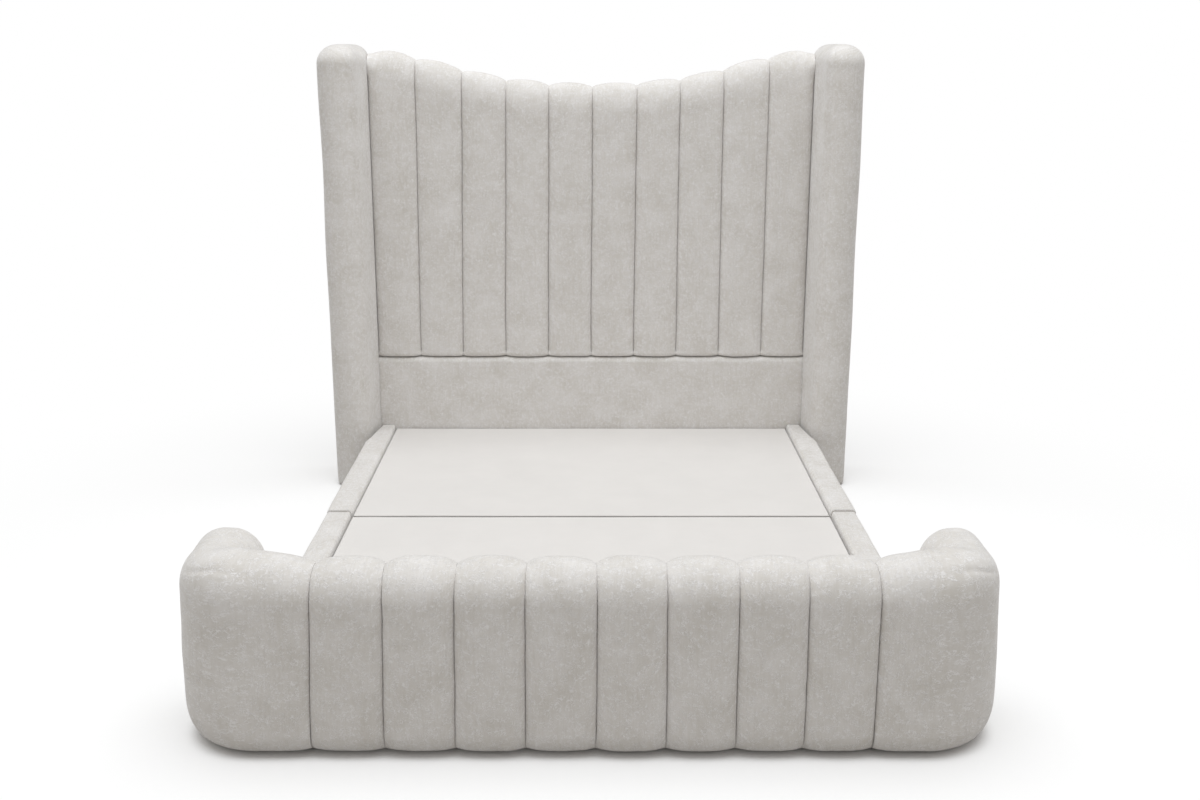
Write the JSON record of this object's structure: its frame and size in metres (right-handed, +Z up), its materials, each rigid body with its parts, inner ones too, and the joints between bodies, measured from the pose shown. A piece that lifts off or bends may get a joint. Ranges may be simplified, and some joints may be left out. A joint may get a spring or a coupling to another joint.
{
  "type": "upholstered king-size bed",
  "caption": "Upholstered king-size bed: swooped winged headboard with upright channels, low base with lift-out deck panels, channelled footboard with wrap-round corner bolsters.",
  "frame": {"origin": "on the floor, on the centre line, where the two halves of the base are bolted together (underside of the middle glide)", "axes": "+X across the bed, +Y towards the headboard, +Z up"},
  "size_m": [1.9592, 2.306, 1.634],
  "materials": {
    "plush_cloth": "brushed velvet plush over foam, greige",
    "deck_cloth": "flat woven upholstery cloth, greige",
    "back_cloth": "black non-woven backing cloth on board",
    "pine": "planed softwood",
    "plywood": "raw plywood",
    "glide_plastic": "moulded black nylon",
    "zinc_plate": "zinc-plated"
  },
  "bodies": {
    "bed_frame": {"head_left_board": "pine", "head_right_board": "pine", "foot_left_board": "pine", "foot_right_board": "pine", "head_end_board": "pine", "foot_end_board": "pine", "head_link_board": "pine", "foot_link_board": "pine", "centre_joists": "pine", "left_deck_ledges": "pine", "right_deck_ledges": "pine", "head_left_rail": "plush_cloth", "head_right_rail": "plush_cloth", "foot_left_rail": "plush_cloth", "foot_right_rail": "plush_cloth", "base_glides": "glide_plastic", "frame_bolts": "zinc_plate", "head_bottom_rail": "pine", "head_top_rail": "pine", "head_left_stile": "pine", "head_right_stile": "pine", "head_centre_stile": "pine", "head_front_board": "plywood", "head_back_cover": "back_cloth", "lower_band": "plush_cloth", "head_channel_1": "plush_cloth", "head_channel_2": "plush_cloth", "head_channel_3": "plush_cloth", "head_channel_4": "plush_cloth", "head_channel_5": "plush_cloth", "head_channel_6": "plush_cloth", "head_channel_7": "plush_cloth", "head_channel_8": "plush_cloth", "head_channel_9": "plush_cloth", "head_channel_10": "plush_cloth", "left_wing_core": "pine", "right_wing_core": "pine", "left_wing_pad": "plush_cloth", "right_wing_pad": "plush_cloth", "foot_bottom_plate": "pine", "foot_top_plate": "pine", "foot_posts": "pine", "foot_front_board": "plywood", "foot_channel_1": "plush_cloth", "foot_channel_2": "plush_cloth", "foot_channel_3": "plush_cloth", "foot_channel_4": "plush_cloth", "foot_channel_5": "plush_cloth", "foot_channel_6": "plush_cloth", "foot_channel_7": "plush_cloth", "foot_channel_8": "plush_cloth", "left_corner_frame": "pine", "right_corner_frame": "pine", "left_corner_bolster": "plush_cloth", "right_corner_bolster": "plush_cloth"},
    "head_deck": {"head_deck_board": "plywood", "head_deck_cover": "deck_cloth"},
    "foot_deck": {"foot_deck_board": "plywood", "foot_deck_cover": "deck_cloth"}
  },
  "joints": [
    {"name": "head_deck_lift", "type": "slide", "parent": "bed_frame", "child": "head_deck", "axis": [0, 0, 1], "range_m": [0, 0.4]},
    {"name": "foot_deck_lift", "type": "slide", "parent": "bed_frame", "child": "foot_deck", "axis": [0, 0, 1], "range_m": [0, 0.4]}
  ]
}
